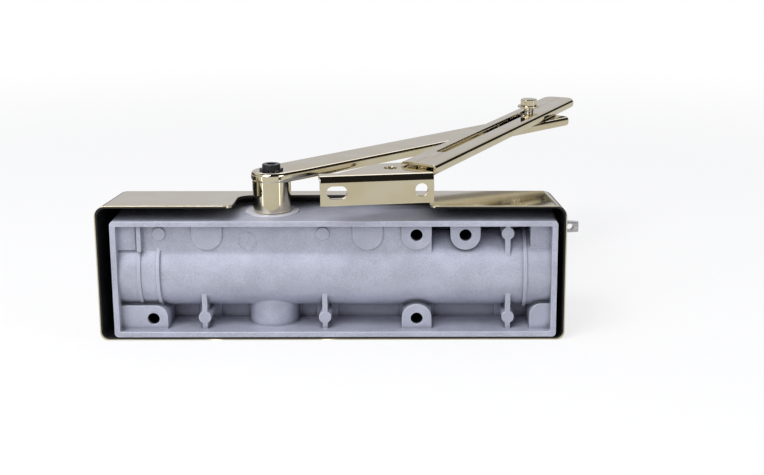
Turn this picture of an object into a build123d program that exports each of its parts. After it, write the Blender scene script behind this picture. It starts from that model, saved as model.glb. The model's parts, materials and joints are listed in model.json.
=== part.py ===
from build123d import *
import os
from math import acos, cos, pi, radians, sin, sqrt, tan

os.makedirs("parts", exist_ok=True)

# Overhead door closer with a scissor arm, seen and built from its mounting side.
# x runs along the body, y from the mounting side to the cover's front, z up.
# The origin is midway between the two lower fixing holes, on the face of their pads.

# Fixing holes
lower_hole_spacing = 135.4
lower_hole_inset = 19.2
lower_hole_height = 8.1
upper_hole_spacing = 24.9
upper_hole_drop = 8.6
fixing_hole_diameter = 6.3
fixing_head_diameter = 11.0
fixing_head_depth = 4.5

# Housing casting
body_length = 226.0
body_height = 61.0
body_depth = 45.0
body_corner_radius = 2.0
rim_width = 2.7
rim_corner_radius = 1.0
pad_recess = 5.5
plateau_recess = 6.5
corner_block_recess = 7.6
front_wall = 4.0
lower_wall_recess = 28.0
panel_recess = 1.0
panel_height = 6.2
panel_gap = 5.6
panel_margin = 1.0
pad_width = 15.2
post_diameter = 6.3
lower_post_places = (45.6, 107.4, 201.5)
lower_post_height = 8.8
upper_post_places = (23.6, 106.9)
key_post_place = 201.1
upper_post_drop = 7.8
plain_pad_places = (48.0, 129.7)
key_rib_width = 2.5
key_rib_reach = 14.5
plateau_start = 14.8
corner_block_length = 12.8
corner_block_height = 16.6
end_block_height = 16.1
corner_pad_length = 26.5
corner_pad_height = 15.2
corner_pad_radius = 6.0
end_pad_length = 13.2
end_pad_height = 16.0

# Cylinder in the casting
bore_diameter = 32.0
cylinder_wall = 3.2
cylinder_depth = 22.0
cylinder_rise = 0.8
cylinder_blend = 4.0
collar_step = 0.8
end_collar_step = 1.1
collar_ridge = 1.6
collar_ridge_width = 1.6
left_collars = (13.4, 23.0)
right_collar = 16.0

# Spindle and pinion
spindle_inset = 80.1
pinion_teeth = 11
gear_module = 1.5
pressure_angle = 20.0
profile_shift = 0.35
gear_backlash = 0.24
gear_root_depth = 1.25
tooth_bite = 0.3
flank_steps = 3
pinion_face = 20.0
upper_journal = 13.6
lower_journal = 11.0
bearing_wall = 3.0
lower_bearing_gap = 3.5
bearing_margin = 0.3
bearing_play = 0.04
seal_length = 3.2
collar_flange_diameter = 27.6
collar_flange_height = 0.6
collar_seat_depth = 4.2
collar_play = 0.3
lower_cap_height = 3.5
lower_boss_diameter = 25.0
neck_diameter = 12.6
neck_length = 2.4
square_across = 8.8
square_play = 0.05
spindle_end_gap = 0.5

# Piston, spring and plugs
stroke_angle = 180.0
piston_head = 12.0
piston_play = 0.05
window_play = 1.0
seal_groove_width = 2.4
seal_groove_depth = 1.6
seal_groove_inset = 4.0
spring_wire = 4.4
spring_turns = 7
spring_sides = 8
spring_play = 0.6
spring_seat_gap = 0.1
plug_length = 11.0
plug_step = 0.5
plug_socket = 10.0
plug_socket_depth = 5.0
ring_section = 2.0
ring_squeeze = 0.02
sealing_sides = 10
ball_diameter = 4.6
ball_pocket_diameter = 5.2
ball_pocket_depth = 7.5
ball_port_diameter = 2.6
ball_plug_length = 2.2

# Speed valve
valve_wall = 2.0
valve_offset = 10.0
valve_stem = 6.0
valve_reach = 12.5
valve_play = 0.05
valve_head_diameter = 7.4
valve_head_end = 5.8
valve_head_reach = 13.6
valve_head_gap = 0.4
valve_pin_hole = 4.0
valve_pin_inset = 4.6
valve_tip_length = 3.0
valve_tip_diameter = 2.0
valve_ring_groove = 1.0

# Cover
cover_thickness = 1.3
cover_pad_thickness = 3.2
cover_left_gap = 7.4
cover_right_gap = 4.5
cover_top_gap = 8.1
cover_bottom_gap = 1.6
cover_corner_radius = 6.0
cover_lower_radius = 4.2
cover_side_draft = 2.6
cover_top_draft = 3.0
cover_front_radius = 3.5
notch_end_gap = 69.3
notch_clearance = 1.5
notch_inner_radius = 9.0
notch_outer_radius = 5.0
valve_hole_diameter = 9.0
pad_size = 14.0
pad_corner_radius = 2.0

# Main arm
arm_angle = 45.9
arm_span = 206.2
arm_width = 22.8
arm_tail = 27.8
arm_hub_radius = 10.4
arm_hub_length = 14.0
arm_height = 5.3
arm_edge_radius = 1.8
arm_level = 82.8
arm_corner_radius = 4.0
sleeve_diameter = 19.7
sleeve_gap = 0.4
arm_screw_diameter = 6.0
arm_screw_head = 9.4
arm_screw_head_height = 2.6
arm_screw_length = 18.0
arm_screw_socket = 4.6
arm_screw_socket_depth = 1.7
arm_screw_edge_radius = 0.5
lock_washer_diameter = 12.0
lock_washer_thickness = 0.8
lock_washer_teeth = 12
lock_washer_tooth_size = 1.2
lock_washer_rim = 1.0

# Forearm and elbow
forearm_angle = 66.4
forearm_width = 20.8
forearm_height = 5.6
forearm_wall = 1.4
forearm_gap = 0.1
forearm_edge_radius = 2.2
forearm_reach = 164.1
forearm_near_end = 8.0
forearm_far_end = 60.5
forearm_corner_radius = 6.5
forearm_end_skew = 10.0
forearm_cut_back = 24.0
forearm_cut_height = 3.8
slot_width = 5.8
slot_near_margin = 30.5
slot_far_margin = 4.2
slot_offset = 0.9
elbow_pin_diameter = 10.0
elbow_pin_play = 0.08
elbow_head_diameter = 14.0
elbow_head_height = 1.2
elbow_seat_diameter = 15.0
elbow_seat_depth = 1.5
block_length = 14.0
block_play = 0.15
block_drop = 1.2
clamp_thread = 4.4
clamp_stand_off = 2.4
clamp_head_across = 8.8
clamp_head_height = 4.0
clamp_head_round = 9.8
clamp_head_chamfer = 0.4
clamp_washer_diameter = 13.2
clamp_washer_thickness = 1.0

# Shoe bracket
shoe_angle = 9.35
shoe_length = 57.0
shoe_height = 14.8
shoe_thickness = 2.4
shoe_plate_edge = 8.3
shoe_bend_radius = 4.0
shoe_level = 86.1
shoe_pivot_along = 55.9
shoe_pivot_depth = 21.8
spare_pivot_along = 37.5
spare_pivot_depth = 16.7
spare_pivot_diameter = 6.8
spare_pivot_margin = 12.0
shoe_pivot_margin = 8.6
rivet_diameter = 6.0
rivet_play = 0.06
rivet_head_diameter = 9.0
rivet_head_height = 0.5
rivet_gap = 0.06
shoe_hole_drop = 8.1
shoe_slot_along = 8.3
shoe_slot_length = 10.4
shoe_slot_width = 6.4
shoe_hole_along = 50.8
shoe_hole_diameter = 6.5

# Lengths closer than this are taken as equal when edges are picked
tolerance = 0.01

# Places worked out from the sizes above
left_end = -(lower_hole_spacing / 2 + lower_hole_inset)
right_end = left_end + body_length
base = -lower_hole_height
top = base + body_height
mounting_plane = -pad_recess
front_face = mounting_plane + body_depth
middle_x = (left_end + right_end) / 2
middle_z = (base + top) / 2
axis_y = mounting_plane + cylinder_depth
axis_z = middle_z + cylinder_rise
cylinder_radius = bore_diameter / 2 + cylinder_wall
upper_hole_height = top - upper_hole_drop
spindle_x = left_end + spindle_inset
right_hole_x = lower_hole_spacing / 2
rim_top = top - rim_width
rim_bottom = base + rim_width
rim_left = left_end + rim_width
rim_right = right_end - rim_width
plateau_end = right_hole_x + pad_width / 2
pad_face = 0.0
plateau_face = mounting_plane + plateau_recess
lower_wall_face = mounting_plane + lower_wall_recess
arm_top = base + arm_level
arm_under = arm_top - arm_height
forearm_under = arm_top + forearm_gap
forearm_top = forearm_under + forearm_height
shoe_top = base + shoe_level
pitch_radius = gear_module * pinion_teeth / 2
stroke = radians(stroke_angle) * pitch_radius
bearing_diameter = upper_journal + 2 * bearing_wall
lower_bearing_diameter = lower_journal + 2 * bearing_wall
plug_diameter = bore_diameter + 2 * plug_step
valve_distance = (plug_diameter + valve_stem) / 2 + valve_wall
valve_y = axis_y + valve_offset
valve_z = axis_z + sqrt(valve_distance**2 - valve_offset**2)


def back_view(y):
    # A sketch plane seen from the mounting side. Extruding by a negative amount goes to the front.
    return Plane.XZ.offset(-y)


def across(x):
    # A sketch plane square to the body, with y and z as its own x and y.
    return Plane.YZ.offset(x)


def heading(x, y, z, angle):
    # A level sketch plane at a point, turned so that its own x runs along the angle.
    direction = (cos(radians(angle)), sin(radians(angle)), 0)
    return Plane(origin=(x, y, z), x_dir=direction, z_dir=(0, 0, 1))


def arch(x, z, width, edge):
    # A round-ended pad about (x, z), with straight sides to the wall at edge.
    with Locations((x, z)):
        Circle(width / 2)
    with Locations((x, (z + edge) / 2)):
        Rectangle(width, abs(edge - z))


def span(x0, x1, z0, z1):
    # A rectangle between two columns and two rows.
    with Locations(((x0 + x1) / 2, (z0 + z1) / 2)):
        Rectangle(x1 - x0, z1 - z0)


# Posts and pads of the casting, by their distance from its left end
lower_posts = [left_end + x for x in lower_post_places]
lower_post_z = base + lower_post_height
upper_posts = [left_end + x for x in upper_post_places]
upper_post_z = top - upper_post_drop
plain_pads = [left_end + x for x in plain_pad_places]
upper_post_x = left_end + key_post_place
upper_pad_z = upper_hole_height
floor_depth = front_face - front_wall

with BuildPart() as housing:
    # The box with its rim, hollowed from the mounting side
    with BuildSketch(back_view(mounting_plane)):
        with Locations((middle_x, middle_z)):
            RectangleRounded(body_length, body_height, body_corner_radius)
    extrude(amount=-body_depth)
    with BuildSketch(back_view(mounting_plane)):
        with Locations((middle_x, middle_z)):
            RectangleRounded(rim_right - rim_left, rim_top - rim_bottom, rim_corner_radius)
    extrude(amount=-(floor_depth - mounting_plane), mode=Mode.SUBTRACT)
    # Lower inner wall and the plateau between the top wall and the cylinder
    with BuildSketch(back_view(lower_wall_face)):
        span(left_end, right_end, base, axis_z)
    extrude(amount=-(front_face - lower_wall_face))
    with BuildSketch(back_view(plateau_face)):
        span(left_end + plateau_start, plateau_end, axis_z, top)
    extrude(amount=-(front_face - plateau_face))
    # Cylinder, blended into the plateau
    with BuildSketch(across(left_end)):
        with Locations((axis_y, axis_z)):
            Circle(cylinder_radius)
    extrude(amount=body_length)
    blend_z = axis_z + sqrt(cylinder_radius**2 - (axis_y - plateau_face) ** 2)
    seam = [
        e
        for e in housing.edges().filter_by(Axis.X)
        if abs(e.center().Z - blend_z) < tolerance and abs(e.center().Y - plateau_face) < tolerance
    ]
    fillet(seam, cylinder_blend)
    # Collars at both ends, with a ridge at each step
    for reach, step in zip(left_collars, (end_collar_step, collar_step)):
        with BuildSketch(across(left_end)):
            with Locations((axis_y, axis_z)):
                Circle(cylinder_radius + step)
        extrude(amount=reach)
    with BuildSketch(across(right_end - right_collar)):
        with Locations((axis_y, axis_z)):
            Circle(cylinder_radius + collar_step)
    extrude(amount=right_collar)
    for ridge in (left_end + left_collars[0], left_end + left_collars[1], right_end - right_collar):
        with BuildSketch(across(ridge - collar_ridge_width / 2)):
            with Locations((axis_y, axis_z)):
                Circle(cylinder_radius + collar_ridge)
        extrude(amount=collar_ridge_width)
    # Corner blocks, the rib beside the upper left one and the corner pads
    with BuildSketch(back_view(mounting_plane + corner_block_recess)):
        span(left_end, left_end + corner_block_length, top - corner_block_height, top)
        span(right_end - end_pad_length, right_end, top - end_block_height, top)
    extrude(amount=-(front_face - mounting_plane - corner_block_recess))
    with BuildSketch(back_view(mounting_plane + pad_recess / 2)):
        span(left_end + corner_block_length, left_end + plateau_start, top - corner_block_height, top)
    extrude(amount=-corner_block_recess)
    with BuildSketch(back_view(pad_face)):
        with Locations((left_end + corner_pad_length / 2, base + corner_pad_height / 2)):
            RectangleRounded(corner_pad_length, corner_pad_height, corner_pad_radius)
        span(left_end, left_end + corner_pad_length, base, base + corner_pad_height / 2)
        span(left_end, left_end + corner_pad_length / 2, base, base + corner_pad_height)
        with Locations((right_end - end_pad_length / 2, base + end_pad_height / 2)):
            RectangleRounded(end_pad_length, end_pad_height, corner_pad_radius)
        span(right_end - end_pad_length, right_end, base, base + end_pad_height / 2)
        span(right_end - end_pad_length / 2, right_end, base, base + end_pad_height)
    extrude(amount=-(front_face - pad_face))
    # Fixing pads and plain arch pads
    with BuildSketch(back_view(pad_face)):
        for x in [right_hole_x, right_hole_x + upper_hole_spacing] + plain_pads:
            arch(x, upper_pad_z, pad_width, top)
        arch(right_hole_x, 0, pad_width, base)
    extrude(amount=-(front_face - pad_face))
    # Round posts, with key ribs that run into the cylinder
    with BuildSketch(back_view(pad_face)):
        for x in lower_posts:
            with Locations((x, lower_post_z)):
                Circle(post_diameter / 2)
            span(x - key_rib_width / 2, x + key_rib_width / 2, base, lower_post_z + key_rib_reach)
        for x in upper_posts:
            with Locations((x, upper_post_z)):
                Circle(post_diameter / 2)
        with Locations((upper_post_x, upper_post_z)):
            Circle(post_diameter / 2)
        rib_half = key_rib_width / 2
        span(upper_post_x - rib_half, upper_post_x + rib_half, upper_post_z - key_rib_reach, top)
    extrude(amount=-(axis_y - pad_face))
    # Lower spindle boss
    with BuildSketch(Plane.XY.offset(base)):
        with Locations((spindle_x, axis_y)):
            Circle(lower_boss_diameter / 2)
    extrude(amount=axis_z - base)
    # Sunk panels in the lower inner wall, between the pads, posts and boss
    boss_half = lower_boss_diameter / 2 + panel_margin
    pad_half = pad_width / 2 + panel_margin
    stops = [(left_end + corner_pad_length, 0), (lower_posts[0], panel_gap), (spindle_x, boss_half)]
    stops += [(lower_posts[1], panel_gap), (right_hole_x, pad_half), (lower_posts[2], panel_gap)]
    with BuildSketch(back_view(lower_wall_face)):
        for (x0, gap0), (x1, gap1) in zip(stops, stops[1:]):
            span(x0 + gap0, x1 - gap1, rim_bottom, rim_bottom + panel_height)
    extrude(amount=-panel_recess, mode=Mode.SUBTRACT)
    # Everything outside the casting's rounded outline is trimmed away
    with BuildSketch(back_view(mounting_plane)):
        with Locations((middle_x, middle_z)):
            RectangleRounded(body_length, body_height, body_corner_radius)
    extrude(amount=-body_depth, mode=Mode.INTERSECT)
    # Cylinder bore with a wider seat for the plug at each end
    with BuildSketch(across(left_end)):
        with Locations((axis_y, axis_z)):
            Circle(bore_diameter / 2)
    extrude(amount=body_length, mode=Mode.SUBTRACT)
    with BuildSketch(across(left_end), across(right_end - plug_length)):
        with Locations((axis_y, axis_z)):
            Circle(plug_diameter / 2)
    extrude(amount=plug_length, mode=Mode.SUBTRACT)
    # Spindle seats: bearing, seal and collar above, bearing and cap below
    with BuildSketch(Plane.XY.offset(axis_z)):
        with Locations((spindle_x, axis_y)):
            Circle(bearing_diameter / 2)
    extrude(amount=top - axis_z, mode=Mode.SUBTRACT)
    with BuildSketch(Plane.XY.offset(base)):
        with Locations((spindle_x, axis_y)):
            Circle(lower_bearing_diameter / 2)
    extrude(amount=axis_z - base, mode=Mode.SUBTRACT)
    # Valve bore and the four fixing holes with their head seats
    with BuildSketch(across(right_end - valve_reach)):
        with Locations((valve_y, valve_z)):
            Circle(valve_stem / 2 + valve_play)
    extrude(amount=valve_reach, mode=Mode.SUBTRACT)
    with Locations(Plane(origin=(0, front_face, 0), x_dir=(-1, 0, 0), z_dir=(0, 1, 0))):
        with Locations(
            (right_hole_x, 0),
            (-right_hole_x, 0),
            (-right_hole_x, upper_hole_height),
            (-right_hole_x - upper_hole_spacing, upper_hole_height),
        ):
            CounterBoreHole(fixing_hole_diameter / 2, fixing_head_diameter / 2, fixing_head_depth)
housing.part.label = "housing"
export_step(housing.part, "parts/housing.step")

# Cover: a drawn hood, open at the back, with a notch that suits the spindle on either hand
cover_left = left_end - cover_left_gap
cover_right = right_end + cover_right_gap
cover_top = top + cover_top_gap
cover_bottom = base - cover_bottom_gap
cover_front = front_face + cover_pad_thickness + cover_thickness
cover_middle = (cover_left + cover_right) / 2
notch_half = (cover_right - cover_left) / 2 - notch_end_gap
notch_depth = cylinder_depth + sleeve_diameter / 2 + notch_clearance


def hood(inset):
    # The hood's outer or inner form, drawn in by the wall thickness and rounded at its front.
    rear_width = cover_right - cover_left - 2 * inset
    rear_height = cover_top - cover_bottom - 2 * inset
    with BuildPart() as form:
        for y, width, height in (
            (mounting_plane, rear_width, rear_height),
            (cover_front - inset, rear_width - 2 * cover_side_draft, rear_height - cover_top_draft),
        ):
            with BuildSketch(back_view(y)) as outline:
                with Locations((cover_middle, cover_bottom + inset + height / 2)):
                    Rectangle(width, height)
                fillet(outline.vertices().group_by(Axis.Y)[0], cover_lower_radius - inset)
                fillet(outline.vertices().group_by(Axis.Y)[-1], cover_corner_radius - inset)
        loft()
        fillet(form.faces().sort_by(Axis.Y)[-1].edges(), cover_front_radius - inset)
    return form.part


with BuildPart() as cover:
    add(hood(0))
    add(hood(cover_thickness), mode=Mode.SUBTRACT)
    # Notch in the top wall, open to the rear edge
    with BuildSketch(Plane.XY.offset(cover_top)) as notch:
        with Locations((cover_middle, mounting_plane + notch_depth / 2)):
            Rectangle(2 * notch_half, notch_depth)
        inner_corners = notch.vertices().group_by(Axis.Y)[-1]
        fillet(inner_corners, notch_inner_radius)
        # Its outer corners are rounded away from the rear edge
        for side in (-1, 1):
            edge_x = cover_middle + side * notch_half
            half = notch_outer_radius / 2
            with Locations((edge_x + side * half, mounting_plane + half)):
                Rectangle(notch_outer_radius, notch_outer_radius)
            with Locations((edge_x + side * notch_outer_radius, mounting_plane + notch_outer_radius)):
                Circle(notch_outer_radius, mode=Mode.SUBTRACT)
    extrude(amount=-(cover_top - top), mode=Mode.SUBTRACT)
    # Hole for the valve's head in the right-hand wall
    with BuildSketch(across(right_end)):
        with Locations((valve_y, valve_z)):
            Circle(valve_hole_diameter / 2)
    extrude(amount=cover_right_gap, mode=Mode.SUBTRACT)
cover.part.label = "cover"
export_step(cover.part, "parts/cover.step")

with BuildPart() as cover_pads:
    with BuildSketch(back_view(front_face)):
        for x in (left_end + body_length / 4, right_end - body_length / 4):
            with Locations((x, middle_z)):
                RectangleRounded(pad_size, pad_size, pad_corner_radius)
    extrude(amount=-cover_pad_thickness)
cover_pads.part.label = "cover_pads"
export_step(cover_pads.part, "parts/cover_pads.step")


def ring(x, radius, section, name):
    # A round sealing ring about the cylinder's axis.
    with BuildPart() as seal:
        with BuildSketch(Plane.XY.offset(axis_z)):
            with Locations((x, axis_y + radius)):
                RegularPolygon(section / 2, sealing_sides)
        revolve(axis=Axis((0, axis_y, axis_z), (1, 0, 0)))
    seal.part.label = name
    export_step(seal.part, "parts/" + name + ".step")


def end_plug(outer_x, inward, name):
    # A plug in the cylinder's wider end, with a nose for its ring and a hexagon socket.
    with BuildPart() as plug:
        for length, diameter in ((plug_length, plug_diameter), (plug_length + plug_nose, nose_diameter)):
            with BuildSketch(across(outer_x)):
                with Locations((axis_y, axis_z)):
                    Circle(diameter / 2)
            extrude(amount=inward * length)
        with BuildSketch(across(outer_x)):
            with Locations((axis_y, axis_z)):
                RegularPolygon(plug_socket / 2, 6, major_radius=False)
        extrude(amount=inward * plug_socket_depth, mode=Mode.SUBTRACT)
    plug.part.label = name
    export_step(plug.part, "parts/" + name + ".step")


plug_nose = 2 * ring_section
nose_diameter = bore_diameter - 2 * ring_section
end_plug(left_end, 1, "left_end_plug")
end_plug(right_end, -1, "right_end_plug")
ring_radius = (bore_diameter - ring_section) / 2
ring_inset = plug_length + ring_section / 2
ring(left_end + ring_inset, ring_radius, ring_section - 2 * ring_squeeze, "left_plug_ring")
ring(right_end - ring_inset, ring_radius, ring_section - 2 * ring_squeeze, "right_plug_ring")

# Levels along the spindle, from the cap up to the arm
piston_radius = bore_diameter / 2 - piston_play
upper_bearing_start = axis_z + bore_diameter / 2 + bearing_margin
seal_end = top - collar_seat_depth
upper_bearing_end = seal_end - seal_length
lower_bearing_end = axis_z - bore_diameter / 2 - bearing_margin
lower_bearing_start = base + lower_cap_height + lower_bearing_gap
collar_top = top + collar_flange_height
sleeve_foot = collar_top + sleeve_gap
square_start = sleeve_foot + neck_length


def sleeve(start, end, outer, inner, name):
    # A plain ring about the spindle's axis, used for bearings and seals.
    with BuildPart() as bush:
        with BuildSketch(Plane.XY.offset(start)):
            with Locations((spindle_x, axis_y)):
                Circle(outer / 2)
                Circle(inner / 2, mode=Mode.SUBTRACT)
        extrude(amount=end - start)
    bush.part.label = name
    export_step(bush.part, "parts/" + name + ".step")


upper_clear = upper_journal + 2 * bearing_play
lower_clear = lower_journal + 2 * bearing_play
sleeve(upper_bearing_start, upper_bearing_end, bearing_diameter, upper_clear, "upper_bearing")
sleeve(upper_bearing_end, seal_end, bearing_diameter, upper_clear, "spindle_seal")
sleeve(lower_bearing_start, lower_bearing_end, lower_bearing_diameter, lower_clear, "lower_bearing")

with BuildPart() as spindle_collar:
    with BuildSketch(Plane.XY.offset(seal_end)):
        with Locations((spindle_x, axis_y)):
            Circle(bearing_diameter / 2)
    extrude(amount=top - seal_end)
    with BuildSketch(Plane.XY.offset(top)):
        with Locations((spindle_x, axis_y)):
            Circle(collar_flange_diameter / 2)
    extrude(amount=collar_flange_height)
    with BuildSketch(Plane.XY.offset(seal_end)):
        with Locations((spindle_x, axis_y)):
            Circle(upper_journal / 2 + collar_play)
    extrude(amount=collar_top - seal_end, mode=Mode.SUBTRACT)
spindle_collar.part.label = "spindle_collar"
export_step(spindle_collar.part, "parts/spindle_collar.step")

with BuildPart() as lower_cap:
    with BuildSketch(Plane.XY.offset(base)):
        with Locations((spindle_x, axis_y)):
            Circle(lower_bearing_diameter / 2)
    extrude(amount=lower_cap_height)
    with BuildSketch(Plane.XY.offset(base)):
        with Locations((spindle_x, axis_y)):
            RegularPolygon(plug_socket / 2, 6, major_radius=False)
    extrude(amount=lower_cap_height / 2, mode=Mode.SUBTRACT)
lower_cap.part.label = "lower_spindle_cap"
export_step(lower_cap.part, "parts/lower_spindle_cap.step")

# Gear sizes: the pinion's teeth are shifted outwards, so that few teeth run without undercut
alpha = radians(pressure_angle)
base_radius = pitch_radius * cos(alpha)
tip_radius = pitch_radius + gear_module * (1 + profile_shift)
root_radius = pitch_radius - gear_module * (gear_root_depth - profile_shift)
tooth_width = gear_module * (pi / 2 + 2 * profile_shift * tan(alpha)) - gear_backlash / 2


def involute(angle):
    return tan(angle) - angle


def flank(radius, side):
    # A point on a tooth flank, for a tooth that is centred on the y axis.
    half = tooth_width / (2 * pitch_radius) + involute(alpha) - involute(acos(base_radius / radius))
    return (side * radius * sin(half), radius * cos(half))


flank_rise = (tip_radius - base_radius) / flank_steps
flank_radii = [base_radius + flank_rise * k for k in range(flank_steps + 1)]
foot = flank(base_radius, 1)
foot_scale = (root_radius - tooth_bite) / base_radius

with BuildSketch() as tooth:
    with BuildLine():
        right_side = Spline([flank(r, 1) for r in flank_radii])
        left_side = Spline([flank(r, -1) for r in flank_radii])
        ThreePointArc(right_side @ 1, (0, tip_radius), left_side @ 1)
        Line(right_side @ 0, (foot[0] * foot_scale, foot[1] * foot_scale))
        Line(left_side @ 0, (-foot[0] * foot_scale, foot[1] * foot_scale))
        Line(
            (foot[0] * foot_scale, foot[1] * foot_scale),
            (-foot[0] * foot_scale, foot[1] * foot_scale),
        )
    make_face()

with BuildPart() as spindle:
    with BuildSketch(Plane.XY.offset(axis_z - pinion_face / 2)):
        with Locations((spindle_x, axis_y)):
            Circle(root_radius)
            with PolarLocations(0, pinion_teeth):
                add(tooth.sketch)
    extrude(amount=pinion_face)
    # Journals on both sides of the pinion, the neck and the square that drives the arm
    for start, end, diameter in (
        (base + lower_cap_height + spindle_end_gap, axis_z, lower_journal),
        (axis_z, collar_top, upper_journal),
        (collar_top, square_start, neck_diameter),
    ):
        with BuildSketch(Plane.XY.offset(start)):
            with Locations((spindle_x, axis_y)):
                Circle(diameter / 2)
        extrude(amount=end - start)
    with BuildSketch(heading(spindle_x, axis_y, square_start, arm_angle)):
        Rectangle(square_across, square_across)
    extrude(amount=arm_top - square_start)
    with BuildSketch(Plane.XY.offset(arm_top)):
        with Locations((spindle_x, axis_y)):
            Circle(arm_screw_diameter / 2 + square_play)
    extrude(amount=-arm_screw_length, mode=Mode.SUBTRACT)
spindle.part.label = "spindle"
export_step(spindle.part, "parts/spindle.step")

# Piston: two heads joined by a back web and by the rack, with a window for the pinion
rack_line = pitch_radius + profile_shift * gear_module
rack_tip = rack_line - gear_module
rack_root = rack_line + gear_root_depth * gear_module
window_left = spindle_x - stroke - tip_radius - window_play
window_right = spindle_x + tip_radius + window_play
piston_left = window_left - piston_head
piston_right = window_right + piston_head
rack_pitch = pi * gear_module
rack_gap = rack_pitch / 2 + gear_backlash / 2
slope = tan(alpha)
gaps_left = int((spindle_x - window_left) / rack_pitch)
gaps_right = int((window_right - spindle_x) / rack_pitch)

with BuildPart() as piston:
    with BuildSketch(across(piston_left)):
        with Locations((axis_y, axis_z)):
            Circle(piston_radius)
    extrude(amount=piston_right - piston_left)
    with BuildSketch(Plane.XY.offset(axis_z - bore_diameter / 2)):
        window_back = axis_y - tip_radius - window_play
        span(window_left, window_right, window_back, axis_y + rack_tip)
        for k in range(-gaps_left, gaps_right + 1):
            centre = spindle_x + k * rack_pitch
            half_tip = rack_gap / 2 + (rack_line - rack_tip) * slope
            half_root = rack_gap / 2 - (rack_root - rack_line) * slope
            with BuildLine():
                Polyline(
                    (centre - half_tip, axis_y + rack_tip),
                    (centre - half_root, axis_y + rack_root),
                    (centre + half_root, axis_y + rack_root),
                    (centre + half_tip, axis_y + rack_tip),
                    close=True,
                )
            make_face()
    extrude(amount=bore_diameter, mode=Mode.SUBTRACT)
    # Groove for the seal, and the pocket of the check valve in the left head
    with BuildSketch(across(piston_left + seal_groove_inset)):
        with Locations((axis_y, axis_z)):
            Circle(bore_diameter / 2)
            Circle(piston_radius - seal_groove_depth, mode=Mode.SUBTRACT)
    extrude(amount=seal_groove_width, mode=Mode.SUBTRACT)
    for diameter, depth in ((ball_pocket_diameter, ball_pocket_depth), (ball_port_diameter, piston_head)):
        with BuildSketch(across(piston_left)):
            with Locations((axis_y, axis_z)):
                Circle(diameter / 2)
        extrude(amount=depth, mode=Mode.SUBTRACT)
piston.part.label = "piston"
export_step(piston.part, "parts/piston.step")

with BuildPart() as piston_seal:
    with BuildSketch(across(piston_left + seal_groove_inset + piston_play)):
        with Locations((axis_y, axis_z)):
            Circle(piston_radius + piston_play / 2)
            Circle(piston_radius - seal_groove_depth, mode=Mode.SUBTRACT)
    extrude(amount=seal_groove_width - 2 * piston_play)
piston_seal.part.label = "piston_seal"
export_step(piston_seal.part, "parts/piston_seal.step")

with BuildPart() as check_ball:
    with Locations((piston_left + ball_pocket_depth - ball_diameter / 2, axis_y, axis_z)):
        Sphere(ball_diameter / 2)
check_ball.part.label = "check_valve_ball"
export_step(check_ball.part, "parts/check_valve_ball.step")

with BuildPart() as check_plug:
    with BuildSketch(across(piston_left)):
        with Locations((axis_y, axis_z)):
            Circle(ball_pocket_diameter / 2)
            Circle(ball_port_diameter / 2, mode=Mode.SUBTRACT)
    extrude(amount=ball_plug_length)
check_plug.part.label = "check_valve_plug"
export_step(check_plug.part, "parts/check_valve_plug.step")

# Main spring between the piston and the right-hand plug
spring_radius = bore_diameter / 2 - spring_wire / 2 - spring_play
spring_start = piston_right + spring_wire / 2 + spring_seat_gap
spring_end = right_end - plug_length - plug_nose - spring_wire / 2 - spring_seat_gap
spring_pitch = (spring_end - spring_start) / spring_turns

with BuildPart() as main_spring:
    with BuildLine():
        coil = Helix(
            pitch=spring_pitch,
            height=spring_end - spring_start,
            radius=spring_radius,
            center=(spring_start, axis_y, axis_z),
            direction=(1, 0, 0),
        )
    with BuildSketch(Plane(origin=coil @ 0, z_dir=coil % 0)):
        RegularPolygon(spring_wire / 2, spring_sides)
    sweep(is_frenet=True)
main_spring.part.label = "main_spring"
export_step(main_spring.part, "parts/main_spring.step")

# Speed valve in the right-hand end, with a head that stands out through the cover
valve_inner = right_end - valve_reach + valve_head_gap
ring_place = right_end - valve_reach / 2

with BuildPart() as speed_valve:
    with BuildSketch(across(valve_inner + valve_tip_length)):
        with Locations((valve_y, valve_z)):
            Circle(valve_stem / 2)
    extrude(amount=right_end + valve_head_gap - valve_inner - valve_tip_length)
    with BuildSketch(across(valve_inner + valve_tip_length)):
        with Locations((valve_y, valve_z)):
            Circle(valve_stem / 2)
    with BuildSketch(across(valve_inner)):
        with Locations((valve_y, valve_z)):
            Circle(valve_tip_diameter / 2)
    loft()
    with BuildSketch(across(right_end + valve_head_gap)):
        with Locations((valve_y, valve_z)):
            Circle(valve_head_diameter / 2)
    with BuildSketch(across(right_end + valve_head_reach)):
        with Locations((valve_y, valve_z)):
            Circle(valve_head_end / 2)
    loft()
    # Cross hole for a turning pin, and the groove of the ring
    with BuildSketch(back_view(valve_y)):
        with Locations((right_end + valve_head_reach - valve_pin_inset, valve_z)):
            Circle(valve_pin_hole / 2)
    extrude(amount=valve_head_diameter, both=True, mode=Mode.SUBTRACT)
    with BuildSketch(across(ring_place - valve_ring_groove / 2 - valve_play)):
        with Locations((valve_y, valve_z)):
            Circle(valve_stem / 2)
            Circle(valve_stem / 2 - valve_ring_groove, mode=Mode.SUBTRACT)
    extrude(amount=valve_ring_groove + 2 * valve_play, mode=Mode.SUBTRACT)
speed_valve.part.label = "speed_valve"
export_step(speed_valve.part, "parts/speed_valve.step")

with BuildPart() as valve_ring:
    with BuildSketch(Plane.XY.offset(valve_z)):
        with Locations((ring_place, valve_y + valve_stem / 2 - valve_ring_groove / 2)):
            RegularPolygon(valve_ring_groove / 2 - ring_squeeze, sealing_sides)
    revolve(axis=Axis((0, valve_y, valve_z), (1, 0, 0)))
valve_ring.part.label = "speed_valve_ring"
export_step(valve_ring.part, "parts/speed_valve_ring.step")

# Main arm: a flat bar with the hub sleeve under its round end
elbow_x = spindle_x + arm_span * cos(radians(arm_angle))
elbow_y = axis_y + arm_span * sin(radians(arm_angle))

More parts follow.
